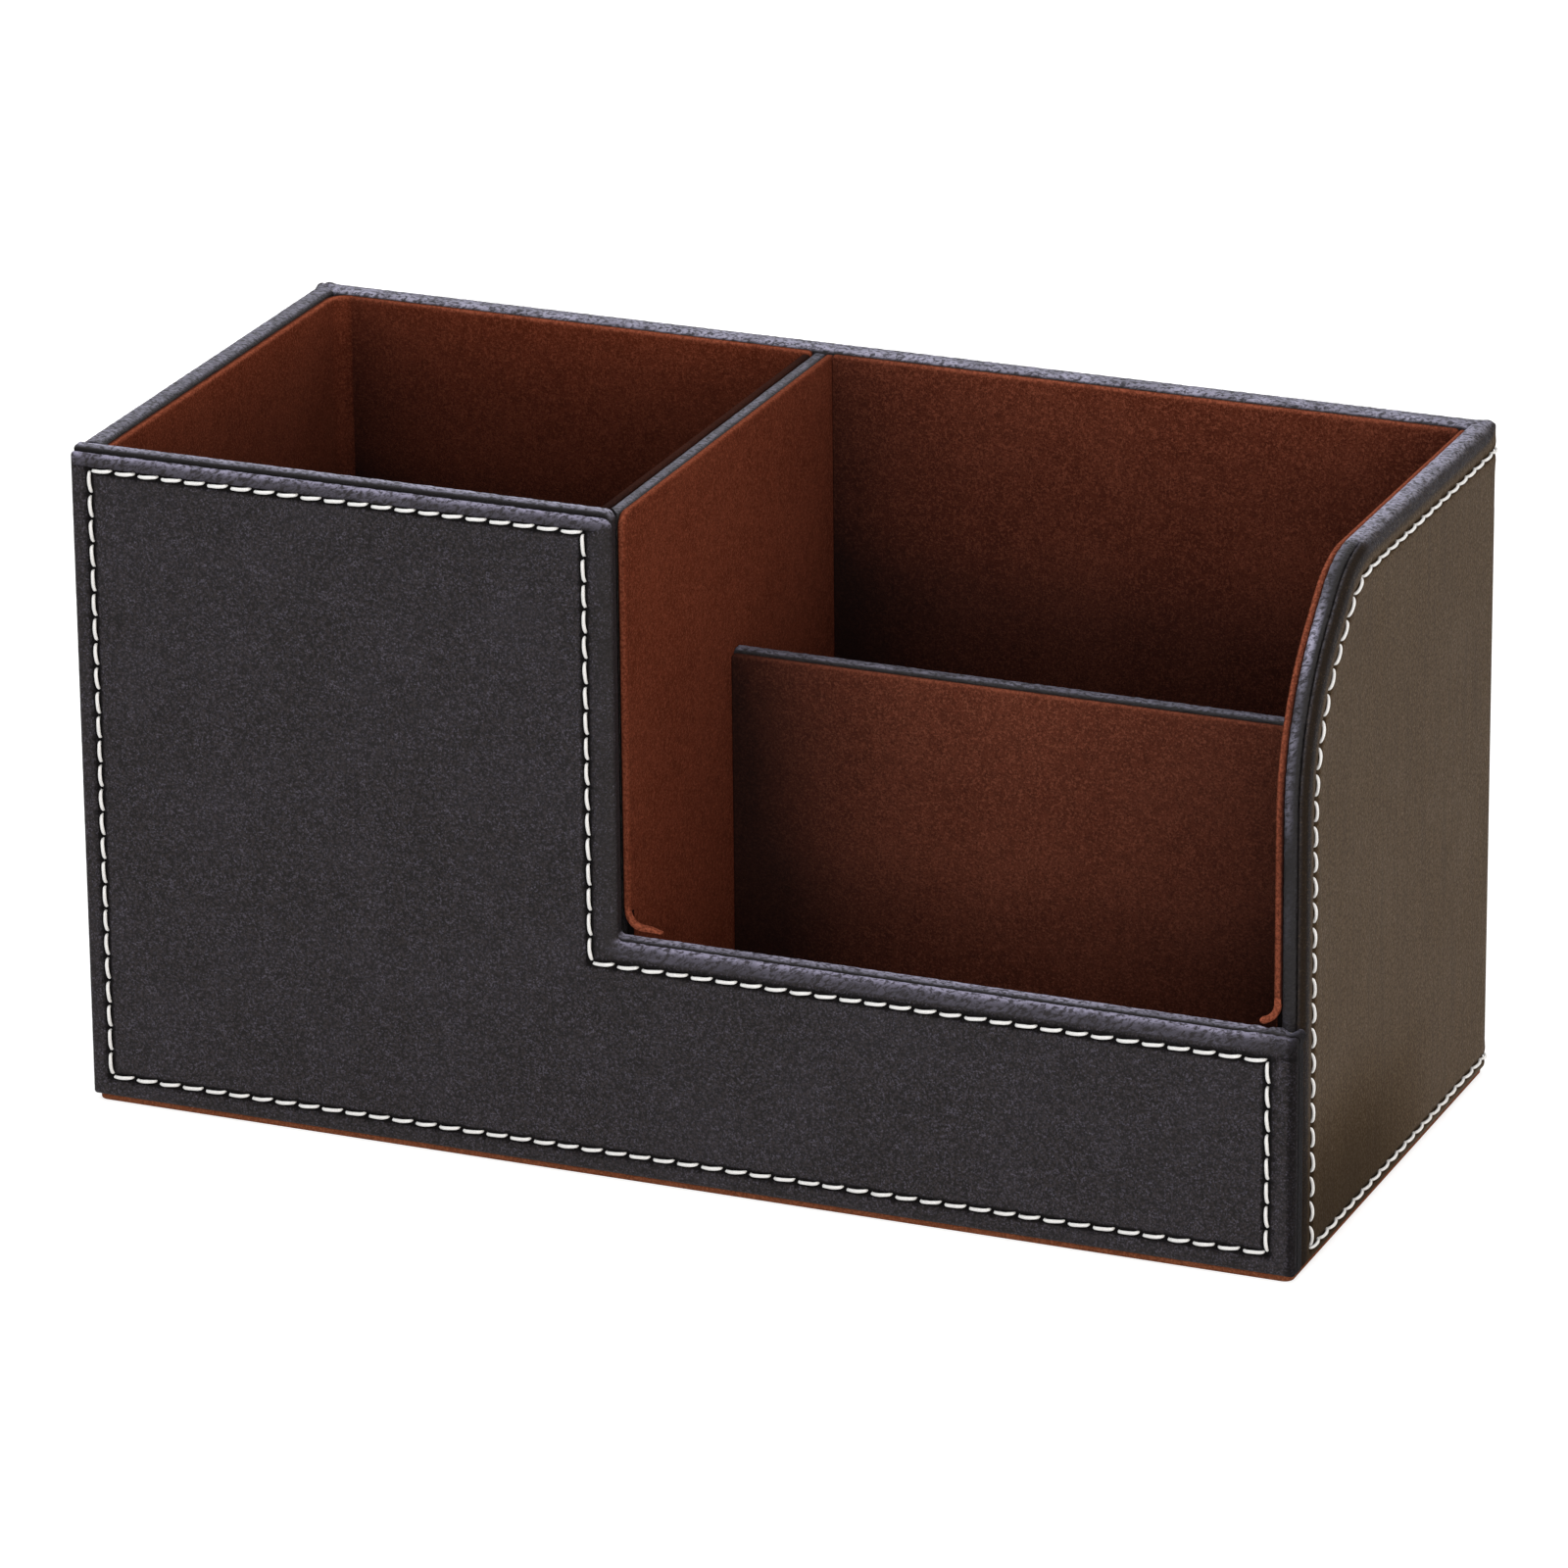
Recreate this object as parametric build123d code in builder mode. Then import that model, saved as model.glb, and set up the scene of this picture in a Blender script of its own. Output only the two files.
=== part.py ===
from build123d import *
from math import cos, radians, sin
import os

# Overall size in millimetres. The origin is the middle of the underside, -Y is the stepped front.
width = 200.0
depth = 91.0
height = 108.0
low_rim_height = 39.6

# Layers of an outer wall, from the outside in
cover_t = 1.4
wrap_t = 0.4
board_t = 1.6
lining_t = 1.2

# Layers of the floor, from the table up
pad_t = 1.0
base_board_t = 2.0
pad_inset = 0.6

# The two dividers: left face of the one, front face of the other
pen_divider_x = -12.6
slot_divider_y = -0.2
slot_divider_height = 71.9
pen_divider_drop = 1.0
divider_cut_back = 3.2
divider_cut_nose = 0.4

# How far each layer's edge stays below or beyond its neighbour's
front_cover_drop = 0.8
low_cover_drop = 0.3
step_cover_overlap = 0.4
lining_drop = 0.9
lining_front_gap = 0.2

# Side profile of the right wall's rim: two bends with a short slope between them
upper_bend_r = 16.0
lower_bend_r = 36.0
bend_turn = 43.4
slope_length = 6.4

# Roundings
cover_edge_r = 1.2
cover_foot_r = 0.6
back_corner_r = 2.0
step_corner_r = 1.5
step_root_r = 0.6
wrap_edge_r = 1.0
card_edge_r = 0.4
card_corner_r = 0.8
pad_corner_r = 1.5
fold_r = 2.9
groove_r = 0.35
left_ear_r = 3.4
right_ear_r = 4.2
ear_tip = 0.4

# Planes that the layers share
wrapped_t = board_t + 2 * wrap_t
outer_x = width / 2
outer_y = depth / 2
board_x = outer_x - cover_t
board_y = outer_y - cover_t
inner_x = board_x - wrapped_t
inner_y = board_y - wrapped_t
lined_x = inner_x - lining_t
lined_y = inner_y - lining_t
floor_z = pad_t + base_board_t
card_z = floor_z + lining_t
card_top = height - lining_drop
pen_divider_right = pen_divider_x + wrapped_t
tray_left = pen_divider_right + lining_t
slot_divider_rear = slot_divider_y + wrapped_t
pen_divider_top = height - pen_divider_drop
divider_card_top = slot_divider_height - lining_drop
curve_run = (
    upper_bend_r * sin(radians(bend_turn))
    + slope_length * cos(radians(bend_turn))
    + lower_bend_r * (1 - sin(radians(bend_turn)))
)


def upright(plan, bottom, top):
    """A piece that stands straight up from its plan."""
    with BuildPart() as piece:
        with BuildSketch(Plane.XY.offset(bottom)):
            with BuildLine():
                Polyline(*plan, close=True)
            make_face()
        extrude(amount=top - bottom)
    return piece.part


def rectangle_plan(left, right, front, back):
    """Corners of a rectangular plan."""
    return [(left, front), (right, front), (right, back), (left, back)]


def stepped_panel(front, thickness, side, top, low_top, step):
    """The front wall's outline, tall at the pen box and low at the tray, with its front face at front."""
    with BuildPart() as panel:
        with BuildSketch(Plane.XZ.offset(-front)) as face:
            with BuildLine():
                Polyline(
                    (-side, pad_t),
                    (side, pad_t),
                    (side, low_top),
                    (step, low_top),
                    (step, top),
                    (-side, top),
                    close=True,
                )
            make_face()
            fillet(face.vertices().sort_by_distance((step, top))[0], step_corner_r)
            fillet(face.vertices().sort_by_distance((step, low_top))[0], step_root_r)
        extrude(amount=-thickness)
    return panel.part


def curved_panel(left, thickness, front, back, bottom, top, tighter=0.0):
    """The right wall's outline, with its rim bending down to the front edge."""
    with BuildPart() as panel:
        with BuildSketch(Plane.YZ.offset(left)):
            with BuildLine():
                rear = Line((back, bottom), (back, top))
                level = Line(rear @ 1, (front + curve_run - tighter, top))
                upper = JernArc(level @ 1, level % 1, upper_bend_r - tighter, bend_turn)
                slope = Line(upper @ 1, upper @ 1 + (upper % 1) * slope_length)
                lower = JernArc(slope @ 1, slope % 1, lower_bend_r - tighter, 90 - bend_turn)
                Polyline(lower @ 1, (front, bottom), (back, bottom))
            make_face()
        extrude(amount=thickness)
    return panel.part


def side_plan(side, inset):
    """Plan of a side board: square at the front, mitred at the back."""
    return [
        (side * (board_x - inset), -inner_y + inset),
        (side * (inner_x + inset), -inner_y + inset),
        (side * (inner_x + inset), inner_y + inset),
        (side * (board_x - inset), board_y - inset),
    ]


def back_plan(inset):
    """Plan of the back board, mitred at both ends."""
    return [
        (-inner_x - inset, inner_y + inset),
        (inner_x + inset, inner_y + inset),
        (board_x - inset, board_y - inset),
        (-board_x + inset, board_y - inset),
    ]


def pen_divider_plan(inset):
    """Plan of the pen divider, with its front end cut on the slant."""
    return [
        (pen_divider_x + inset, -inner_y + divider_cut_back + inset),
        (pen_divider_right - inset, -inner_y + divider_cut_nose + inset),
        (pen_divider_right - inset, inner_y),
        (pen_divider_x + inset, inner_y),
    ]


def suede_card(left, right, front, back, top, bottom=card_z):
    """A flat suede card with softened top edges."""
    with BuildPart() as card:
        add(upright(rectangle_plan(left, right, front, back), bottom, top))
        long_axis = Axis.X if right - left > back - front else Axis.Y
        fillet(card.edges().filter_by(long_axis).group_by(Axis.Z)[-1], card_edge_r)
    return card


def floor_card(left, right, front, back):
    """A suede card that lies on the base board."""
    with BuildPart() as card:
        add(upright(rectangle_plan(left, right, front, back), floor_z, card_z))
    return card


# Felt pad that the box stands on
with BuildPart() as base_pad:
    with BuildSketch():
        RectangleRounded(width - 2 * pad_inset, depth - 2 * pad_inset, pad_corner_r)
    extrude(amount=pad_t)

# Base board between the four walls
with BuildPart() as base_board:
    add(upright(rectangle_plan(-inner_x, inner_x, -inner_y, inner_y), pad_t, floor_z))

# Front wall: board, leather turned round its rim and ends, and the stitched cover
with BuildPart() as front_board:
    add(
        stepped_panel(
            -board_y + wrap_t,
            board_t,
            outer_x - wrap_t,
            height - wrap_t,
            low_rim_height - wrap_t,
            pen_divider_right - wrap_t,
        )
    )

with BuildPart() as front_board_wrap:
    add(stepped_panel(-board_y, wrapped_t, outer_x, height, low_rim_height, pen_divider_right))
    front_rim = front_board_wrap.faces().sort_by(Axis.Y)[0].edges()
    rear_rim = front_board_wrap.faces().sort_by(Axis.Y)[-1].edges()
    rounded = front_rim.filter_by(lambda edge: edge.center().Z > pad_t)
    rounded += rear_rim.filter_by(lambda edge: edge.center().Z > pad_t and abs(edge.center().X) < outer_x)
    fillet(rounded, wrap_edge_r)
    add(front_board.part, mode=Mode.SUBTRACT)

with BuildPart() as front_cover:
    add(
        stepped_panel(
            -outer_y,
            cover_t,
            outer_x,
            height - front_cover_drop,
            low_rim_height - low_cover_drop,
            pen_divider_right + step_cover_overlap,
        )
    )
    fillet(front_cover.faces().sort_by(Axis.Y)[0].edges(), cover_edge_r)

# Left wall board and the leather turned over its rim
with BuildPart() as left_board:
    add(upright(side_plan(-1, wrap_t), pad_t, height - wrap_t))

with BuildPart() as left_board_wrap:
    add(upright(side_plan(-1, 0), pad_t, height))
    fillet(left_board_wrap.edges().filter_by(Axis.Y).group_by(Axis.Z)[-1].sort_by(Axis.X)[-1], wrap_edge_r)
    add(left_board.part, mode=Mode.SUBTRACT)

# Back wall board and the leather turned over its rim
with BuildPart() as back_board:
    add(upright(back_plan(wrap_t), pad_t, height - wrap_t))

with BuildPart() as back_board_wrap:
    add(upright(back_plan(0), pad_t, height))
    fillet(back_board_wrap.edges().filter_by(Axis.X).group_by(Axis.Z)[-1].sort_by(Axis.Y)[0], wrap_edge_r)
    add(back_board.part, mode=Mode.SUBTRACT)

# Groove between the two leathers of the right wall's rim, from the upper bend to the low front wall
with BuildPart() as rim_groove:
    with BuildLine(Plane.YZ.offset(board_x)) as groove_path:
        groove_upper = JernArc((-inner_y + curve_run, height), (-1, 0), upper_bend_r, bend_turn)
        groove_slope = Line(groove_upper @ 1, groove_upper @ 1 + (groove_upper % 1) * slope_length)
        groove_lower = JernArc(groove_slope @ 1, groove_slope % 1, lower_bend_r, 90 - bend_turn)
        Line(groove_lower @ 1, (-inner_y, low_rim_height))
    with BuildSketch(Plane(origin=groove_path.line @ 0, z_dir=groove_path.line % 0)):
        Circle(groove_r)
    sweep()

# Right wall board and the leather turned over its curved rim
mitre_waste = [(inner_x, inner_y), (board_x, board_y), (inner_x, board_y)]

with BuildPart() as right_board:
    add(
        curved_panel(
            inner_x + wrap_t,
            board_t,
            -inner_y + wrap_t,
            board_y - wrap_t,
            pad_t,
            height - wrap_t,
            tighter=wrap_t,
        )
    )
    add(upright(mitre_waste, pad_t, height), mode=Mode.SUBTRACT)

with BuildPart() as right_board_wrap:
    add(curved_panel(inner_x, wrapped_t, -inner_y, board_y, pad_t, height))
    add(upright(mitre_waste, pad_t, height), mode=Mode.SUBTRACT)
    inner_rim = right_board_wrap.faces().sort_by(Axis.X)[0].edges()
    fillet(inner_rim.filter_by(lambda edge: edge.center().Z > pad_t and edge.center().Y < inner_y), wrap_edge_r)
    add(right_board.part, mode=Mode.SUBTRACT)
    add(rim_groove.part, mode=Mode.SUBTRACT)

# One stitched cover round the left side, the back and the right side
with BuildPart() as side_back_cover:
    with BuildSketch(Plane.XY.offset(pad_t)) as cover_plan:
        with BuildLine():
            Polyline(
                (-outer_x, -inner_y),
                (-board_x, -inner_y),
                (-board_x, board_y),
                (board_x, board_y),
                (board_x, outer_y - back_corner_r),
                (outer_x, outer_y - back_corner_r),
                (outer_x, outer_y),
                (-outer_x, outer_y),
                close=True,
            )
        make_face()
        for corner in [(-outer_x, outer_y), (outer_x, outer_y)]:
            fillet(cover_plan.vertices().sort_by_distance(corner)[0], back_corner_r)
    extrude(amount=height - pad_t)
    add(curved_panel(board_x, cover_t, -inner_y, outer_y - back_corner_r, pad_t, height))
    cover_rim = side_back_cover.edges().filter_by(Axis.Y).group_by(Axis.Z)[-1].sort_by(Axis.X)
    fillet([cover_rim[0], cover_rim[-1]], cover_edge_r)
    cover_foot = side_back_cover.edges().filter_by(Axis.Y).group_by(Axis.Z)[0].sort_by(Axis.X)
    fillet([cover_foot[0], cover_foot[-1]], cover_foot_r)
    add(rim_groove.part, mode=Mode.SUBTRACT)

# Wall between the pen box and the tray
with BuildPart() as pen_divider_board:
    add(upright(pen_divider_plan(wrap_t), floor_z, pen_divider_top - wrap_t))

with BuildPart() as pen_divider_wrap:
    add(upright(pen_divider_plan(0), floor_z, pen_divider_top))
    fillet(pen_divider_wrap.edges().filter_by(Axis.Y).group_by(Axis.Z)[-1], wrap_edge_r)
    add(pen_divider_board.part, mode=Mode.SUBTRACT)

# Low wall between the rear slot and the front bin
with BuildPart() as slot_divider_board:
    add(
        upright(
            rectangle_plan(tray_left, lined_x, slot_divider_y + wrap_t, slot_divider_rear - wrap_t),
            floor_z,
            slot_divider_height - wrap_t,
        )
    )

with BuildPart() as slot_divider_wrap:
    add(
        upright(
            rectangle_plan(tray_left, lined_x, slot_divider_y, slot_divider_rear),
            floor_z,
            slot_divider_height,
        )
    )
    fillet(slot_divider_wrap.edges().filter_by(Axis.X).group_by(Axis.Z)[-1], wrap_edge_r)
    add(slot_divider_board.part, mode=Mode.SUBTRACT)

# Pen box lining: one card folded round the back left corner, and two flat cards
with BuildPart() as pen_side_back_lining:
    with BuildSketch(Plane.XY.offset(card_z)):
        with BuildLine():
            FilletPolyline(
                (-inner_x + lining_t / 2, -inner_y),
                (-inner_x + lining_t / 2, inner_y - lining_t / 2),
                (pen_divider_x, inner_y - lining_t / 2),
                radius=fold_r,
            )
        trace(line_width=lining_t)
    extrude(amount=card_top - card_z)
    fold_edges = pen_side_back_lining.edges().group_by(Axis.Z)[-1]
    fillet(fold_edges.filter_by(lambda edge: edge.length > 2 * lining_t), card_edge_r)

pen_front_lining = suede_card(-lined_x, pen_divider_x, -inner_y, -lined_y, card_top)
pen_right_lining = suede_card(pen_divider_x - lining_t, pen_divider_x, -lined_y, lined_y, card_top)
pen_floor_lining = floor_card(-inner_x, pen_divider_x, -inner_y, inner_y)

# Tray linings: the left card's front edge shows beside the front wall's step
with BuildPart() as tray_left_lining:
    with BuildSketch(Plane.YZ.offset(pen_divider_right)) as tray_left_face:
        with BuildLine():
            Polyline(
                (-inner_y + lining_front_gap, card_z),
                (inner_y, card_z),
                (inner_y, card_top),
                (-inner_y + lining_front_gap, card_top),
                close=True,
            )
        make_face()
        fillet(tray_left_face.vertices().sort_by_distance((-inner_y, card_top))[0], card_corner_r)
    extrude(amount=lining_t)
    right_face_edges = tray_left_lining.faces().sort_by(Axis.X)[-1].edges()
    fillet(right_face_edges.filter_by(lambda edge: card_z < edge.center().Z and edge.center().Y < lined_y), card_edge_r)

# The right card follows the curved rim
with BuildPart() as tray_right_lining:
    add(
        curved_panel(
            lined_x,
            lining_t,
            -inner_y + lining_front_gap,
            inner_y,
            card_z,
            card_top,
        )
    )
    left_face_edges = tray_right_lining.faces().sort_by(Axis.X)[0].edges()
    fillet(left_face_edges.filter_by(lambda edge: card_z < edge.center().Z and edge.center().Y < lined_y), card_edge_r)

slot_back_lining = suede_card(tray_left, lined_x, lined_y, inner_y, card_top)
slot_front_lining = suede_card(
    tray_left, lined_x, slot_divider_rear, slot_divider_rear + lining_t, divider_card_top
)
slot_floor_lining = floor_card(pen_divider_right, inner_x, slot_divider_rear, inner_y)

bin_back_lining = suede_card(
    tray_left, lined_x, slot_divider_y - lining_t, slot_divider_y, divider_card_top
)
bin_floor_lining = floor_card(pen_divider_right, inner_x, -inner_y, slot_divider_y)

# Card behind the low front wall, with an ear that curls up at each end
with BuildPart() as bin_front_lining:
    with BuildSketch(Plane.XZ.offset(lined_y)):
        with BuildLine():
            ear_base = low_rim_height - low_cover_drop
            left_tip = (tray_left + ear_tip, ear_base + left_ear_r)
            left_curl = JernArc(left_tip, (0, -1), left_ear_r, 90)
            right_tip = (lined_x - ear_tip, ear_base + right_ear_r)
            right_curl = JernArc(right_tip, (0, -1), right_ear_r, -90)
            Line(left_curl @ 1, right_curl @ 1)
            Polyline(
                right_tip,
                (lined_x, right_tip[1]),
                (lined_x, card_z),
                (tray_left, card_z),
                (tray_left, left_tip[1]),
                left_tip,
            )
        make_face()
    extrude(amount=lining_t)

pieces = {
    "base_pad": base_pad,
    "base_board": base_board,
    "front_board": front_board,
    "front_board_wrap": front_board_wrap,
    "front_cover": front_cover,
    "left_board": left_board,
    "left_board_wrap": left_board_wrap,
    "back_board": back_board,
    "back_board_wrap": back_board_wrap,
    "right_board": right_board,
    "right_board_wrap": right_board_wrap,
    "side_back_cover": side_back_cover,
    "pen_divider_board": pen_divider_board,
    "pen_divider_wrap": pen_divider_wrap,
    "slot_divider_board": slot_divider_board,
    "slot_divider_wrap": slot_divider_wrap,
    "pen_side_back_lining": pen_side_back_lining,
    "pen_front_lining": pen_front_lining,
    "pen_right_lining": pen_right_lining,
    "pen_floor_lining": pen_floor_lining,
    "tray_left_lining": tray_left_lining,
    "tray_right_lining": tray_right_lining,
    "slot_back_lining": slot_back_lining,
    "slot_front_lining": slot_front_lining,
    "slot_floor_lining": slot_floor_lining,
    "bin_back_lining": bin_back_lining,
    "bin_front_lining": bin_front_lining,
    "bin_floor_lining": bin_floor_lining,
}

os.makedirs("parts", exist_ok=True)
for name, piece in pieces.items():
    piece.part.label = name
    export_step(piece.part, f"parts/{name}.step")
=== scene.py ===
import math
from functools import cached_property

import bmesh
import bpy
import numpy as np
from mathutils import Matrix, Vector, kdtree, noise
from mathutils.geometry import delaunay_2d_cdt


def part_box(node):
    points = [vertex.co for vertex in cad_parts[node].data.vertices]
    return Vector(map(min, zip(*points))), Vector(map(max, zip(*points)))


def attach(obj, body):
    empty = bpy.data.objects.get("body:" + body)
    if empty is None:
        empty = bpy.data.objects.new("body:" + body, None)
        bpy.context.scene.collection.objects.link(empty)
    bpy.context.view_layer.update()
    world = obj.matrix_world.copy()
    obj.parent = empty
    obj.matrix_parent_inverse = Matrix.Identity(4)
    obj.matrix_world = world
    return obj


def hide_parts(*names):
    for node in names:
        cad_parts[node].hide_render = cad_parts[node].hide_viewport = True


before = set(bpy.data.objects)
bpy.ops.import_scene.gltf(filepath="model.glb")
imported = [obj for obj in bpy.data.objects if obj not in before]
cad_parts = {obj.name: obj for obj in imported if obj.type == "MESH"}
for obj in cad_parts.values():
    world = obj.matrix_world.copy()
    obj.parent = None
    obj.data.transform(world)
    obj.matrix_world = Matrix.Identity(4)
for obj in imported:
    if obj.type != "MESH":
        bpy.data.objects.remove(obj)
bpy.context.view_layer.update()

MM = 0.001

# Camera of the photograph, in metres and degrees
CAMERA_PLACE = (0.52946, -1.26481, 0.56649)
CAMERA_TURN = (69.379, 0.528, 22.549)
CAMERA_LENS = 216.1
CAMERA_SENSOR = 36.0
CAMERA_CLIP = (0.05, 50)

# Forms that a node's box doesn't give, in millimetres as everything below
LOW_RIM = 39.6
UPPER_BEND = 16.0
LOWER_BEND = 36.0
BEND_TURN = math.radians(43.4)
SLOPE = 6.4
BACK_CORNER = 2.0
COVER_DROP = 0.3
COVER_PAST_STEP = 0.4
CARD = 1.2
LINING_FOLD = 2.9
EAR_NOTCH = 1.4
EAR_TOP = 43.5

# Sewing
PITCH = 4.0
SEAM_REACH = 4.0
SEAM_RINGS = (-0.8, -0.6, -0.42, -0.27, -0.13, 0, 0.13, 0.27, 0.42, 0.6, 0.8, 1.1, 1.6, 2.3, 3.4)
FRONT_THREAD = 0.285
SIDE_THREAD = 0.25
THREAD_SLANT = math.radians(4.5)
THREAD_SINK = 0.66

# How a sheet's mesh is made
LEAST_RISE = 0.004
GROOVE_PROBE = 0.1
SLIVER = 1e-4
BEND_COLUMNS = 0.3

pieces = []


def box(node):
    """Lowest and highest corner of a node in millimetres."""
    lo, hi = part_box(node)
    return lo / MM, hi / MM


def link(name, data):
    """Puts a new object with that data into the scene."""
    thing = bpy.data.objects.new(name, data)
    bpy.context.scene.collection.objects.link(thing)
    return thing


def declare(piece, slot, *nodes):
    """Says which slot a piece takes its finish from and which nodes it replaces."""
    if nodes:
        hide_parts(*nodes)
    pieces.append((piece, slot))


def ramp(value, low, high):
    """A soft step from 0 at the first value to 1 at the second."""
    share = min(1.0, max(0.0, (value - low) / (high - low)))
    return share * share * (3 - 2 * share)


def bell(away, width):
    """A soft hump, 1 in its middle and nearly 0 at two widths from it."""
    return math.exp(-((away / width) ** 2))


def turned(arm, angle):
    """A flat vector turned anticlockwise by an angle."""
    cosine, sine = math.cos(angle), math.sin(angle)
    return Vector((arm.x * cosine - arm.y * sine, arm.x * sine + arm.y * cosine))


def left_of(run):
    """The direction on the left hand of a run."""
    return Vector((-run.y, run.x))


def turn_between(before, after):
    """Angle from one run to the next, above 0 when it goes anticlockwise."""
    return math.atan2(before.cross(after), before.dot(after))


def distance_to(spots):
    """Tells how far a flat point is from the nearest of these spots."""
    tree = kdtree.KDTree(len(spots))
    for index, spot in enumerate(spots):
        tree.insert((spot[0], spot[1], 0), index)
    tree.balance()
    return lambda u, v: tree.find((u, v, 0))[2]


# The camera comes first
camera = link("camera", bpy.data.cameras.new("camera"))
camera.location = CAMERA_PLACE
camera.rotation_euler = [math.radians(angle) for angle in CAMERA_TURN]
camera.data.sensor_width = CAMERA_SENSOR
camera.data.lens = CAMERA_LENS
camera.data.clip_start, camera.data.clip_end = CAMERA_CLIP
bpy.context.scene.camera = camera


class Outline:
    """A closed outline, anticlockwise, whose sides each move in by their own distance."""

    def __init__(self, corners, radii, spacing=0.5, fine=()):
        self.corners = [Vector(corner) for corner in corners]
        self.radii = radii
        self.count = len(corners)
        ends = self.corners[1:] + self.corners[:1]
        self.runs = [(end - start).normalized() for start, end in zip(self.corners, ends)]
        self.turns = [turn_between(self.runs[index - 1], run) for index, run in enumerate(self.runs)]
        reach = [radius * math.tan(abs(turn) / 2) for radius, turn in zip(radii, self.turns)]
        self.arc_steps = []
        for radius, turn in zip(radii, self.turns):
            self.arc_steps.append(max(3, math.ceil(radius * abs(turn) / min(spacing, 0.3 + radius / 20))))
        self.fractions, self.sides = [], []
        for index in range(self.count):
            after = (index + 1) % self.count
            length = (self.corners[after] - self.corners[index]).length - reach[index] - reach[after]
            place, places = 0.0, []
            while place < length:
                dense = any(side == index and start < place < end for side, start, end in fine)
                place += spacing / 3 if dense else spacing
                places.append(place)
            self.fractions.append([place / places[-1] for place in places[:-1]])
            steps = self.arc_steps[index]
            self.sides += [((index - 1) % self.count, index, step / steps) for step in range(steps + 1)]
            self.sides += [(index, index, 0.0)] * len(self.fractions[index])
        self.size = len(self.sides)

    def spread(self, values):
        """One value a point from one value a side."""
        return np.array([values[a] * (1 - mix) + values[b] * mix for a, b, mix in self.sides])

    def ring(self, insets, tight=0.0, moved=None):
        """The outline with each side moved in. Tight 1 keeps its inner corners sharp."""
        moved = moved or insets
        arcs = []
        for index, turn in enumerate(self.turns):
            before, after = self.runs[index - 1], self.runs[index]
            cross = before.cross(after)
            corner = self.corners[index] - before * (moved[index] / cross)
            corner = corner + after * (moved[index - 1] / cross)
            way = math.copysign(1, turn)
            radius = max(self.radii[index] - way * (insets[index - 1] + insets[index]) / 2, 0.03)
            if way < 0:
                radius += (0.1 - radius) * tight
            start = corner - before * radius * math.tan(abs(turn) / 2)
            centre = start + left_of(before) * way * radius
            steps = self.arc_steps[index]
            arcs.append([centre + turned(start - centre, turn * step / steps) for step in range(steps + 1)])
        points = []
        for index, arc in enumerate(arcs):
            end = arcs[(index + 1) % self.count][0]
            points += arc + [arc[-1].lerp(end, fraction) for fraction in self.fractions[index]]
        return np.array([point[:] for point in points])

    def runs_between(self, insets, sharp):
        """The moved outline cut at its first corners, as many as sharp, as a list of point arrays."""
        ring = self.ring(insets, tight=1.0)
        starts, place = [], 0
        for index in range(sharp):
            starts.append(place + self.arc_steps[index] // 2)
            place += self.arc_steps[index] + 1 + len(self.fractions[index])
        ends = starts[1:] + [starts[0] + len(ring)]
        return [ring[np.arange(start, end + 1) % len(ring)] for start, end in zip(starts, ends)]


class Plan:
    """A path seen from above, with rounded corners and its face on the right hand."""

    def __init__(self, points, radius=0.0):
        points = [Vector(point) for point in points]
        self.radius = radius
        self.stretches = []
        station = 0.0
        start = points[0]
        for index in range(1, len(points)):
            before = (points[index] - points[index - 1]).normalized()
            last = index == len(points) - 1
            end = points[index] - before * (0.0 if last else radius)
            self.stretches.append((station, (end - start).length, start, before, 0.0))
            station += (end - start).length
            if not last:
                after = (points[index + 1] - points[index]).normalized()
                turn = turn_between(before, after)
                self.stretches.append((station, radius * abs(turn), end, before, turn))
                station += radius * abs(turn)
                start = points[index] + after * radius
        self.length = station
        self.bends = [(start, start + length) for start, length, _, _, turn in self.stretches if turn]

    def place(self, u, v, h):
        """Point of a standing sheet at a station, a height and a lift off its face."""
        for station, length, start, run, turn in self.stretches:
            if u <= station + length + 1e-6 or station + length >= self.length - 1e-6:
                break
        along = u - station
        spot, travel = start + run * along, run
        if turn:
            angle = math.copysign(along / self.radius, turn)
            centre = start + left_of(run) * math.copysign(1, turn) * self.radius
            spot, travel = centre + turned(start - centre, angle), turned(run, angle)
        spot = spot - left_of(travel) * h
        return spot.x, spot.y, v


def rounded(face=(0, 0), back=(0, 0), rim=0.0, mitre=0.0):
    """A side of a sheet: how far and how deep its face and back are rounded, its mark and its mitre."""
    return {"face": face, "back": back, "rim": rim, "mitre": mitre}


def rounding(height, thickness, face=(0, 0), back=(0, 0)):
    """How far a side draws in at a height, which is 0 at the face and negative below."""
    inset = 0.0
    for (reach, depth), away in ((face, -height), (back, height + thickness)):
        if depth and away < depth:
            inset += reach * (1 - math.sqrt(max(0.0, 1 - ((depth - away) / depth) ** 2)))
    return inset


def edge_layers(thickness, sides, steps=8):
    """Rings round the edge of a sheet, close together where it is rounded."""
    face, back = (max(side[key][1] for side in sides) for key in ("face", "back"))
    turns = [math.pi / 2 * step / steps for step in range(steps + 1)]
    rises = [-thickness + back * (1 - math.cos(turn)) for turn in turns]
    heights = rises[:1]
    for height in rises + [-face * (1 - math.sin(turn)) for turn in turns]:
        if height > heights[-1] + LEAST_RISE:
            heights.append(height)
    heights[-1] = 0.0
    marks = [side["rim"] for side in sides]
    layers = []
    for height in heights:
        insets = []
        for side in sides:
            inset = rounding(height, thickness, side["face"], side["back"])
            insets.append(inset + side["mitre"] * -height)
        layers.append((insets, height, marks, 0.0))
    return layers


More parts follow.
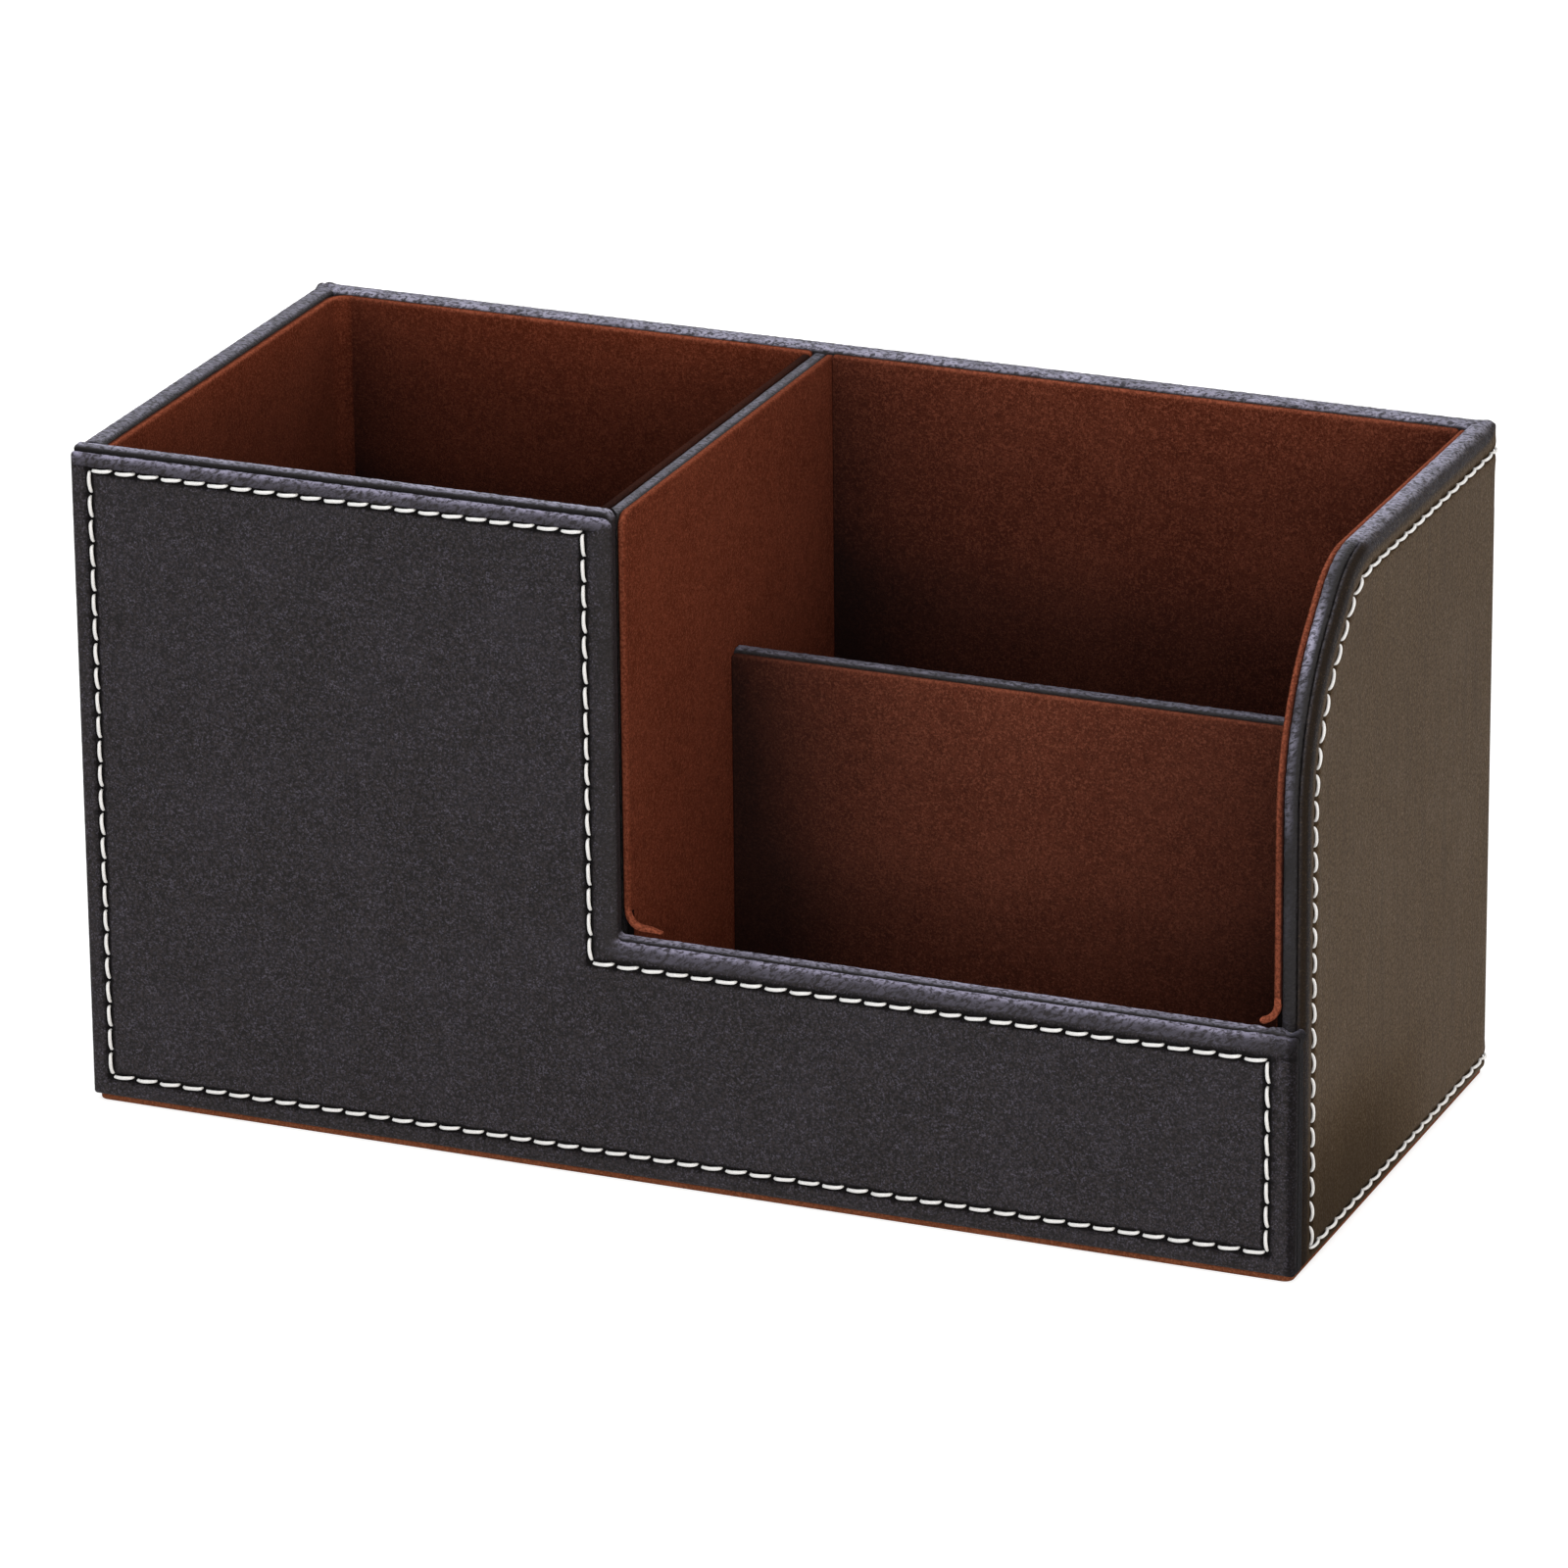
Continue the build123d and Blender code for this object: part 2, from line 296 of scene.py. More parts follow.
def seamed_layers(thickness, sides, seam):
    """Edge rings, then rings through the hem and the seam to the plain face."""
    layers = edge_layers(thickness, sides)
    edge, _, marks, _ = layers[-1]
    for share in (0.25, 0.5, 0.75):
        insets = [max(a + (b - 0.95 - a) * share, a + 0.02 * share) for a, b in zip(edge, seam)]
        layers.append((insets, 0.0, [mark * (1 - share) ** 2 for mark in marks], share))
    hem = layers[-1][0]
    for away in SEAM_RINGS:
        insets = [max(b + away, a + 0.02 * (away + 1)) for a, b in zip(hem, seam)]
        layers.append((insets, 0.0, [0.0] * len(seam), 1.0))
    return layers


def inside(points, ring):
    """Which points lie inside the ring."""
    x, y = points[:, 0][:, None], points[:, 1][:, None]
    ax, ay = ring[:, 0][None], ring[:, 1][None]
    bx, by = np.roll(ring[:, 0], -1)[None], np.roll(ring[:, 1], -1)[None]
    crosses = (ay > y) != (by > y)
    slope = np.where(by == ay, 1e-9, by - ay)
    hits = crosses & (x < (bx - ax) * (y - ay) / slope + ax)
    return hits.sum(1) % 2 == 1


def fill(ring, spacing, bends):
    """Points and triangles that fill a ring, with close columns where the sheet bends."""
    lo, hi = ring.min(0), ring.max(0)
    columns = list(np.arange(lo[0] + spacing / 2, hi[0], spacing))
    for start, end in bends:
        columns = [column for column in columns if not start - 1 < column < end + 1]
        columns += list(np.arange(start - 2 * BEND_COLUMNS, end + 2 * BEND_COLUMNS, BEND_COLUMNS))
    rows = np.arange(lo[1] + spacing / 2, hi[1], spacing)
    lattice = np.array([(column, row) for column in sorted(columns) for row in rows]).reshape(-1, 2)
    lattice = lattice[inside(lattice, ring)]
    to_ring = distance_to(ring)
    lattice = np.array([spot for spot in lattice if to_ring(*spot) > 0.35 * spacing]).reshape(-1, 2)
    points = np.vstack([ring, lattice])
    loop = list(range(len(ring)))
    made = delaunay_2d_cdt([Vector(point) for point in points], [], [loop], 1, 1e-7, True)
    source = [ids[0] for ids in made[3]]
    triangles = np.array([[source[index] for index in face] for face in made[2]])
    a, b, c = (points[triangles[:, index]] for index in range(3))
    area = (b - a)[:, 0] * (c - a)[:, 1] - (b - a)[:, 1] * (c - a)[:, 0]
    longest = np.sqrt(np.max([((b - a) ** 2).sum(1), ((c - b) ** 2).sum(1), ((a - c) ** 2).sum(1)], axis=0))
    real = (np.abs(area) / longest > SLIVER) & inside((a + b + c) / 3, ring)
    faces = []
    for (first, second, third), way in zip(triangles[real], area[real]):
        faces.append((first, second, third) if way > 0 else (first, third, second))
    return lattice, faces


def band_faces(first, count, rings):
    """Four-sided faces that join rings of points, each to the next."""
    faces = []
    for low in range(first, first + (rings - 1) * count, count):
        for index in range(count):
            after = (index + 1) % count
            faces.append((low + index, low + after, low + count + after, low + count + index))
    return faces


def finish_mesh(name, points, faces, marks, wrinkle=None, sharp_angle=48):
    """Makes an object from points in millimetres, with soft shading and marks on its points."""
    mesh = bpy.data.meshes.new(name)
    mesh.from_pydata([tuple(value * MM for value in point) for point in points], [], faces)
    mesh.update()
    if wrinkle:
        normals = np.zeros(len(points) * 3)
        mesh.vertices.foreach_get("normal", normals)
        normals = normals.reshape(-1, 3)
        moved = np.array(points) * MM
        for index, mark in enumerate(marks["rim"]):
            if mark > 0.02:
                moved[index] += normals[index] * wrinkle(points[index]) * mark * MM
        mesh.vertices.foreach_set("co", moved.astype(np.float32).ravel())
        mesh.update()
    for kind, values in marks.items():
        layer = mesh.attributes.new(kind, "FLOAT", "POINT")
        layer.data.foreach_set("value", np.array(values, dtype=np.float32))
    mesh.shade_smooth()
    work = bmesh.new()
    work.from_mesh(mesh)
    limit = math.radians(sharp_angle)
    for edge in work.edges:
        edge.smooth = len(edge.link_faces) == 2 and edge.calc_face_angle(0) < limit
    work.to_mesh(mesh)
    work.free()
    return link(name, mesh)


def sheet(
    name, node, slot, outline, layers, place, spacing=5, bends=(),
    wrinkle=None, lift=None, groove=None, crown=None, dim=None, fade=None,
):
    """A closed sheet from rings, hidden face first. A layer is (insets, height, marks, lifted)."""
    spots, rings = [], []
    full_rims = [mark > 0.8 for mark in layers[0][2]]
    ridges = outline.spread(full_rims)
    for insets, height, marks, lifted in layers:
        ring = outline.ring(insets, lifted)
        if groove:
            moved = [inset + GROOVE_PROBE * cut for inset, cut in zip(insets, full_rims)]
            inner = outline.ring(insets, lifted, moved)
            cuts = np.array([groove(u, v, height) for u, v in ring])
            ring = ring + (inner - ring) / GROOVE_PROBE * cuts[:, None]
        rings.append(ring)
        # The crown mark carries painted highlight, only on sides that are fully rim.
        for (u, v), mark, ridge in zip(ring, outline.spread(marks), ridges):
            mark = min(1.0, mark * fade(u, v, height)) if fade else mark
            lit = crown(u, v, height, lifted) * ridge if crown else 0.0
            spots.append((u, v, height, lifted, mark, lit))
    size = outline.size
    faces = band_faces(0, size, len(layers))
    for number in (0, len(layers) - 1):
        extra, triangles = fill(rings[number], spacing, bends)
        used = [*range(number * size, (number + 1) * size), *range(len(spots), len(spots) + len(extra))]
        _, height, _, lifted = layers[number]
        spots += [(u, v, height, lifted, 0.0, 0.0) for u, v in extra]
        for triangle in triangles:
            corners = tuple(used[index] for index in triangle)
            faces.append(corners if number else corners[::-1])
    # The shade mark carries painted shade, from beside the seam and from the shade function.
    points, shades = [], []
    for u, v, height, lifted, _, _ in spots:
        drop, dark = lift(u, v) if lift and lifted else (0.0, 0.0)
        shades.append(min(1.0, dark * lifted + (dim(u, v, height) if dim else 0.0)))
        points.append(place(u, v, height + drop * lifted))
    marks = {"rim": [spot[4] for spot in spots], "shade": shades, "crown": [spot[5] for spot in spots]}
    declare(finish_mesh(name, points, faces, marks, wrinkle), slot, node)


def holes_of(runs):
    """Evenly spaced needle holes along each run, with one at each end."""
    groups = []
    for run in runs:
        steps = np.linalg.norm(np.diff(run, axis=0), axis=1)
        station = np.concatenate([[0], np.cumsum(steps)])
        wanted = np.linspace(0, station[-1], max(1, round(station[-1] / PITCH)) + 1)
        groups.append(np.stack([np.interp(wanted, station, run[:, axis]) for axis in (0, 1)], 1))
    return groups


def seam_lift(groups, dark):
    """Lift and painted shade beside a seam: a pulled-in bed, a dent at each hole and a soft pucker, shaded
    in the bed and at the holes.
    """
    bed = []
    for group in groups:
        for start, end in zip(group[:-1], group[1:]):
            bed += [start + (end - start) * share for share in np.arange(0, 1, 0.1)]
    to_bed, to_hole = distance_to(bed), distance_to(np.vstack(groups))

    def lift(u, v):
        away = to_bed(u, v)
        if away > SEAM_REACH:
            return 0.0, 0.0
        near = to_hole(u, v)
        height = -0.34 * bell(away, 0.52) - 0.40 * bell(near, 0.42) - 0.10 * bell(near, 1.1)
        height += 0.10 * bell(away - 1.5, 0.9)
        return height, dark * max(ramp(away, 0.95, 0.55), ramp(near, 1.05, 0.7))
    return lift


def thread(name, groups, place, thick):
    """One slanted bar of twisted thread between each two holes."""
    around, along, lobes = 9, 15, 3
    points, faces = [], []
    for group in groups:
        for number, (start, end) in enumerate(zip(group[:-1], group[1:])):
            chord = end - start
            length = np.linalg.norm(chord)
            run = chord / length
            left = np.array((-run[1], run[0]))
            slant = math.tan(THREAD_SLANT) * length
            wobble = noise.noise(Vector((start[0] * 0.9, start[1] * 0.9, 4.1)))
            first = len(points)
            for step in range(along):
                share = step / (along - 1)
                arch, swing = math.sin(math.pi * share), math.cos(math.pi * share)
                reach = 0.55 * (0.5 - 0.5 * swing) + 0.45 * share
                spot = start + chord * (0.085 + 0.83 * reach)
                spot = spot + left * slant * (share - 0.5) * (1 + 0.4 * wobble)
                height = -THREAD_SINK + (0.84 + 0.08 * wobble) * arch ** 0.5
                size = thick * (0.6 + 0.4 * arch ** 0.4)
                for turn in range(around):
                    angle = 2 * math.pi * turn / around
                    ridge = 1 + 0.10 * math.cos(lobes * angle + share * 9 + number)
                    aside = math.cos(angle) * size * ridge
                    up = math.sin(angle) * size * ridge
                    lean = swing * 0.55 * up
                    points.append((*(spot + left * aside - run * lean), height + up))
            faces += band_faces(first, around, along)
            faces.append(tuple(range(first + around - 1, first - 1, -1)))
            faces.append(tuple(range(len(points) - around, len(points))))
    points = [place(*point) for point in points]
    declare(finish_mesh(name, points, faces, {}, sharp_angle=80), "thread")


def wrinkles(size, coarse):
    """Creases of turned leather or nap, as a lift off the surface."""
    def wrinkle(point):
        spot = Vector(point) * coarse
        narrow = noise.noise(spot * 2.7 + Vector((9, 3, 5)))
        return size * (noise.noise(spot) + 0.6 * narrow - 0.35 * abs(noise.noise(spot * 1.7)))
    return wrinkle


bare = rounded()
rim_wrinkle = wrinkles(0.06, 0.9)
soft_wrinkle = wrinkles(0.035, 0.45)
nap_wrinkle = wrinkles(0.09, 0.8)

# Planes shared by the pieces, from the nodes' boxes
cover_lo, cover_hi = box("front_cover")
wrap_lo, wrap_hi = box("front_board_wrap")
shell_lo, shell_hi = box("side_back_cover")
divider_lo, divider_hi = box("pen_divider_wrap")
slot_lo, slot_hi = box("slot_divider_wrap")
outer_x, outer_y = shell_hi.x, shell_hi.y
width = 2 * outer_x
foot, top = shell_lo.z, shell_hi.z
cover_t = cover_hi.y - cover_lo.y
wrap_t = wrap_hi.y - wrap_lo.y
front_y = wrap_hi.y
step_x = divider_hi.x


def cover(base, node, plan, outline, sides, seam, sharp, thick, dark, **looks):
    """A stitched cover and its thread. The seam turns sharply at as many corners as sharp says. Dark is the
    strength of the painted shade beside the seam.
    """
    holes = holes_of(outline.runs_between(seam, sharp))
    layers = seamed_layers(cover_t, sides, seam)
    looks.update(bends=plan.bends, lift=seam_lift(holes, dark))
    sheet("stitched_" + node, node, base + "_leather", outline, layers, plan.place, **looks)
    thread(base + "_seam_thread", holes, plan.place, thick)


def wrap(name, node, plan, outline, sides, spacing=12, wrinkle=rim_wrinkle, **looks):
    """Leather round a board that stands on a plan path."""
    layers = edge_layers(wrap_t, sides)
    sheet(name, node, "rim_leather", outline, layers, plan.place, spacing, wrinkle=wrinkle, **looks)


# Front wall cover
front_plan = Plan([(-outer_x, cover_lo.y), (outer_x, cover_lo.y)])
low_cover = LOW_RIM - COVER_DROP
cover_step = step_x + COVER_PAST_STEP + outer_x


def stepped(step, low, high):
    """Corners of the front wall, whose rim steps down at a station."""
    return [(0, foot), (width, foot), (width, low), (step, low), (step, high), (0, high)]


front_outline = Outline(stepped(cover_step, low_cover, cover_hi.z), (0.5, 0.5, 0.6, 0.6, 1.5, 0.35), 0.4)
front_seam = [3.45, 4.4, 3.8, 4.35, 2.4, 3.35]
top_edge = rounded((1.9, 0.9), (0.5, 0.45), 1.0)
front_sides = [
    rounded((0.7, 0.7), rim=0.15),
    rounded((0.8, 0.8), (0.15, 0.12), 0.1),
    dict(top_edge, face=(2.1, 0.9)),
    dict(top_edge, rim=0.5),
    top_edge,
    rounded((0.7, 0.7), rim=0.3),
]


def crumpled(point):
    """Rim creases that grow into folds where the low rim meets the right wall."""
    x, y, z = point
    folds = ramp(x, outer_x - 11, outer_x - 4) * ramp(z, LOW_RIM - 6, LOW_RIM - 1)
    fold = noise.noise(Vector((x * 0.62 + z * 0.55, y * 0.45, z * 0.25)))
    return rim_wrinkle(point) + 0.9 * folds * fold


def rubbed_rim(u, v, fading):
    """Where the front's stepped rim takes its painted highlight, less and less towards the right wall."""
    low_end = (1 - fading * ramp(u, width - 9, width - 3)) * ramp(u, width, width - 0.8)
    rim = cover_hi.z if u < cover_step + 0.5 else LOW_RIM
    upright = ramp(abs(u - cover_step), 5, 4) * ramp(v, low_cover - 3, low_cover)
    return low_end * max(ramp(v, rim - 4.5, rim - 3.5), upright)


def roll_crown(u, v, h, lifted):
    """Painted highlight on the rounded hem below the rim, brightest beside the groove."""
    worn_and_lit = rubbed_rim(u, v, 0.5)
    if lifted:
        return 0.16 * worn_and_lit * (1 - ramp(lifted, 0.0, 0.4))
    return worn_and_lit * ramp(h, -1.2, -0.95) * (1 - 0.84 * ramp(h, -0.72, -0.05))


def front_dim(u, v, h):
    """Painted shade above both rims' stitches and where the low rim meets the right wall."""
    tall = u < cover_step - 2
    line = bell(cover_hi.z - v - 1.9, 0.3) if tall else bell(low_cover - v - 3.05, 0.4)
    return 0.45 * line + 0.7 * ramp(u, width - 1.7, width - 0.7)


cover(
    "front", "front_cover", front_plan, front_outline, front_sides, front_seam,
    sharp=6, thick=FRONT_THREAD, dark=1.0, crown=roll_crown, wrinkle=crumpled, dim=front_dim,
)


# Front board's leather, turned over the stepped rim
def band_crown(u, v, h, lifted):
    """Painted highlight from the inner edge of a wrapped rim to the groove beside the cover."""
    worn_and_lit = rubbed_rim(u, v, 0.4)
    return worn_and_lit * ramp(h, -2.4, -2.2) * (1 - 0.45 * ramp(h, -1.7, -0.8)) * ramp(h, -0.2, -0.7)


def band_dim(u, v, h):
    """Painted shade where the low rim meets the right wall and in the groove by the cover."""
    return 0.7 * ramp(u, width - 2.4, width - 0.9) + 0.6 * ramp(h, -0.35, 0.0)


round_edge = rounded((0.9, 0.9), (0.55, 0.65), 1.0)
end_edge = rounded((0.35, 0.35), (0.3, 0.3), 0.6)
wrap(
    "front_rim_wrap", "front_board_wrap", Plan([(-outer_x, wrap_lo.y), (outer_x, wrap_lo.y)]),
    Outline(stepped(step_x + outer_x, LOW_RIM, wrap_hi.z), (0.4, 0.4, 0.8, 0.6, 1.5, 0.4)),
    [bare, end_edge, round_edge, dict(round_edge, rim=0.7), round_edge, end_edge],
    spacing=8, crown=band_crown, dim=band_dim, wrinkle=crumpled,
)

# Side and back cover, unrolled from the right wall's front edge round to the left wall's
shell_plan = Plan(
    [(outer_x, front_y), (outer_x, outer_y), (-outer_x, outer_y), (-outer_x, front_y)], BACK_CORNER
)
upper_reach = UPPER_BEND * math.tan(BEND_TURN / 2)
lower_reach = LOWER_BEND * math.tan((math.pi / 2 - BEND_TURN) / 2)
bend_run = UPPER_BEND * math.sin(BEND_TURN) + SLOPE * math.cos(BEND_TURN)
bend_run += LOWER_BEND * (1 - math.sin(BEND_TURN))
upper_corner = bend_run - upper_reach
lower_drop = (upper_reach + SLOPE + lower_reach) * math.sin(BEND_TURN)


def curved_outline(length, back_corner, spacing, fine=()):
    """Outline of the right wall, with its two bends at the start of the run."""
    corners = [(0, foot), (length, foot), (length, top), (upper_corner, top), (0, top - lower_drop)]
    return Outline(corners, (0.3, 0.3, back_corner, UPPER_BEND, LOWER_BEND), spacing, fine)


bend_fine = []
for start, end in shell_plan.bends:
    bend_fine.append((0, start - 1, end + 1))
    bend_fine.append((2, shell_plan.length - end - 1, shell_plan.length - start + 1))
shell_outline = curved_outline(shell_plan.length, back_corner=0.3, spacing=0.42, fine=bend_fine)
shell_seam = [1.85, 4.0, 4.5, 4.8, 4.0]
shell_rim = rounded((1.9, cover_t), (0.0, 0.5), 1.0)
shell_sides = [
    rounded((0.6, 0.6), rim=0.1),
    rounded((0.8, 0.8), rim=0.3),
    shell_rim,
    shell_rim,
    rounded((1.5, 1.2), rim=0.9),
]


def opened(u):
    """How far the groove between the right wall's two leathers is open, from 0 to 1."""
    return ramp(u, bend_run + 1.0, bend_run - 2.5)


def shell_groove(u, v, h):
    """The cover's rim falls away into the groove, and creases at the back corners."""
    if v < LOW_RIM - 1:
        return 0.0
    cut = opened(u) * rounding(h, cover_t, back=(0.65, 0.55))
    round_less = rounding(h, cover_t, face=shell_rim["face"]) - rounding(h, cover_t, face=(0.6, 0.6))
    for start, end in shell_plan.bends:
        away = abs(u - (start + end) / 2)
        cut += 0.22 * bell(away, 0.3)
        cut -= round_less * ramp(away, 4.0, 1.0) * ramp(v, top - 3.4, top - 2.2)
    return cut


def upward(v):
    """How far the right wall's rim looks up at a height, 1 on top and 0.18 low down, which scales its
    painted highlight.
    """
    return 0.18 + 0.82 * ramp(v, LOW_RIM + 20, top - 6)


def shell_crown(u, v, h, lifted):
    """Painted highlight, bright beside the wrapped board, dark outside, faint beside the open groove."""
    if lifted:
        return 0.0
    closed = 0.70 - 0.65 * ramp(h, -1.3, -0.2)
    line = 0.12 * upward(v) * bell(h + 1.0, 0.2)
    return closed * (1 - opened(u)) + line * opened(u)


def shell_fade(u, v, h):
    """The hem beside the open groove stays dark nearly to the seam."""
    return 1 + 0.7 * opened(u) * ramp(h, -0.2, 0.0)


def shell_dim(u, v, h):
    """Painted shadow at the right wall's front foot, and painted shade along the edge beside the open
    groove.
    """
    corner = 0.65 * ramp(v, 30, 4) * ramp(u, 64, 20)
    if v < LOW_RIM - 1:
        return corner
    return corner + 0.7 * opened(u) * ramp(h, -1.05, -0.65) * ramp(h, 0.0, -0.3)


cover(
    "side", "side_back_cover", shell_plan, shell_outline, shell_sides, shell_seam,
    sharp=3, thick=SIDE_THREAD, dark=0.65, groove=shell_groove, crown=shell_crown,
    wrinkle=rim_wrinkle, dim=shell_dim, fade=shell_fade,
)

# Wraps of the left, back and right boards, mitred at the back corners
mitre = rounded(mitre=1.0)
inner_edge = rounded(back=(0.9, 0.9), rim=1.0)
board_x, board_y = outer_x - cover_t, outer_y - cover_t


def panel(length, low, high):
    """Corners of an upright rectangle."""
    return [(0, low), (length, low), (length, high), (0, high)]


def straight_wrap(side, start, end, mitred, crown, pucker=0.0):
    """A wrapped board between two plan points. Mitred tells which of its ends are."""
    plan = Plan([start, end])
    fine = [(2, 0, 4), (2, plan.length - 4, plan.length)]
    outline = Outline(panel(plan.length, foot, top), (0.1,) * 4, spacing=0.45, fine=fine)
    first_end, last_end = (mitre if cut else bare for cut in mitred)

    def crease(u, v, h):
        """A crease at each mitre, and small puckers along the inner edge."""
        if v < top - 3:
            return 0.0
        cut = 0.0
        for cut_end, away in zip(mitred, (u + h, plan.length - u + h)):
            cut += 0.30 * bell(away, 0.35) * cut_end
        share = min(1.0, max(0.0, (-h - 1.2) / 1.2))
        return cut + pucker * share * (0.5 + noise.noise(Vector((u * 1.15, 2.5, h * 0.3))))

    sides = [bare, last_end, inner_edge, first_end]
    wrap(side + "_rim_wrap", side + "_board_wrap", plan, outline, sides, groove=crease, crown=crown)


def left_crown(u, v, h, lifted):
    """Painted highlight, even but for its inner edge."""
    return 0.42 * ramp(h, -2.35, -1.7)


def back_crown(u, v, h, lifted):
    """Painted highlight, brighter, and most along its inner half."""
    return 0.72 * ramp(h, -2.42, -2.2) * (1 - 0.3 * ramp(h, -1.6, -0.4))


straight_wrap("left", (-board_x, board_y), (-board_x, front_y), (True, False), left_crown)
straight_wrap("back", (board_x, board_y), (-board_x, board_y), (True, True), back_crown, pucker=0.12)


def right_crown(u, v, h, lifted):
    """Painted highlight, brightest at its inner edge on top, mottled and duller where the rim turns down."""
    patch = 0.72 + 1.5 * noise.noise(Vector((v * 0.13, h * 0.2, 7.7)))
    low = 0.6 * upward(v) * patch * ramp(h, -0.5, -1.3)
    high = 1.15 - 0.5 * ramp(h, -2.0, -0.5)
    return ramp(h, -2.4, -2.15) * (high * (1 - opened(u)) + low * opened(u))


def right_groove(u, v, h):
    """The wrapped board's rim falls away into the cover's groove from its own side."""
    if v < LOW_RIM - 1:
        return 0.0
    return opened(u) * rounding(h, wrap_t, face=(0.7, 0.6))


right_plan = Plan([(board_x, front_y), (board_x, board_y)])
grooved_edge = dict(inner_edge, face=(0.0, 0.6))
wrap(
    "right_rim_wrap", "right_board_wrap", right_plan,
    curved_outline(right_plan.length, back_corner=0.1, spacing=0.45),
    [bare, mitre, grooved_edge, grooved_edge, grooved_edge], groove=right_groove, crown=right_crown,
)

# Dividers
pen_plan = Plan([(divider_hi.x, divider_lo.y), (divider_hi.x, divider_hi.y)])
slot_plan = Plan([(slot_lo.x, slot_lo.y), (slot_hi.x, slot_lo.y)])
divider_edge = rounded((0.8, 0.9), (0.7, 0.9), 1.0)
slanted_end = rounded((0.2, 0.2), (0.2, 0.2), 0.8, 2.8 / 2.4)
# Both dividers take a painted highlight along their rims through their crown.
wrap(
    "pen_divider_leather", "pen_divider_wrap", pen_plan,
    Outline(panel(pen_plan.length, divider_lo.z, divider_hi.z), (0.2, 0.2, 0.2, 0.5)),
    [bare, bare, divider_edge, slanted_end], spacing=10, wrinkle=soft_wrinkle,
    crown=lambda u, v, h, lifted: 0.27 * ramp(h, -2.2, -1.7) * ramp(h, -0.2, -0.8),
)
wrap(
    "slot_divider_leather", "slot_divider_wrap", slot_plan,
    Outline(panel(slot_plan.length, slot_lo.z, slot_hi.z), (0.2, 0.2, 0.3, 0.3)),
    [bare, bare, divider_edge, bare], spacing=10,
    crown=lambda u, v, h, lifted: 0.3 * ramp(h, -0.1, -0.5) + 0.4 * ramp(h, -1.7, -2.0),
)

# Suede linings. The shade of a card's end is how dark it is there and how far that reaches
card_edge = rounded((0.32, 0.35), (0.35, 0.35), 0.42)
bright_edge = dict(card_edge, rim=0.8)
dark_edge = dict(card_edge, rim=0.05)
card_side = rounded((0.3, 0.3), (0.2, 0.2), 0.15)
card_radii = (0.1, 0.1, 0.6, 0.6)
no_shade = (0.0, 1)
plain_ends = ((0.15, 10), (0.15, 10))
slot_ends = ((0.42, 14), (0.32, 10))
bin_ends = ((0.84, 32), (0.76, 38))


def card(base, plan, corners, radii, sides, deep, ends, notch=None, fade=None):
    """A suede card whose shown face stands on a plan, with painted shade that grows by deep towards its
    foot.
    """
    rim = max(v for _, v in corners)
    dark_rim = dark_edge in sides
    (start, start_reach), (end, end_reach) = ends

    def dim(u, v, h):
        """Painted shade: full behind the notch, and on its cut edge behind the shown face, at its ends and
        folds, and with its depth.
        """
        if notch and v < notch + 0.1 and h < -0.1:
            return 1.0
        if dark_rim:
            cut = 0.8 * ramp(v, rim - 0.9, rim - 0.3)
        elif notch:
            cut = 0.45 * ramp(h, -0.9, -1.1)
        else:
            cut = 0.55 * ramp(h, -0.45, -0.85)
        side = start * math.exp(-u / start_reach) + end * math.exp((u - plan.length) / end_reach)
        for _, folded in plan.bends:
            if u > folded:
                side += 0.32 * math.exp(-(u - folded) / 12)
        depth = max(0.0, rim - v)
        return min(0.93, cut + side + deep * (1 - math.exp(-depth / 12) + 0.6 * ramp(depth, 24, 40)))

    layers = []
    for insets, height, marks, lifted in edge_layers(CARD, sides, steps=5):
        lit = ramp(height, -0.7, -0.35)
        if notch:
            lit = 0.1 + 0.9 * ramp(height, -1.15, -0.87) * ramp(height, -0.05, -0.4)
        layers.append((insets, height, [mark * lit for mark in marks], lifted))
    insets, _, marks, _ = layers[-1]
    for away, share in ((0.12, 0.5), (0.35, 0.1), (0.7, 0.0)):
        layers.append(([inset + away for inset in insets], 0.0, [mark * share for mark in marks], 1.0))
    sheet(
        base + "_suede", base + "_lining", "suede", Outline(corners, radii, spacing=0.6), layers, plan.place,
        bends=plan.bends, wrinkle=nap_wrinkle, dim=dim, fade=fade,
    )


def card_sides(edge):
    """Sides of a card with four of them, whose rim has the given edge."""
    return [bare, card_side, edge, card_side]


# The card folded round the pen box's back left corner
fold_lo, fold_hi = box("pen_side_back_lining")
fold_x, fold_y = fold_lo.x + CARD, fold_hi.y - CARD
fold_plan = Plan([(fold_x, fold_lo.y), (fold_x, fold_y), (fold_hi.x, fold_y)], LINING_FOLD - CARD / 2)
fold_corners = panel(fold_plan.length, fold_lo.z, fold_hi.z + 0.3)
card("pen_side_back", fold_plan, fold_corners, card_radii, card_sides(card_edge), 0.56, plain_ends)

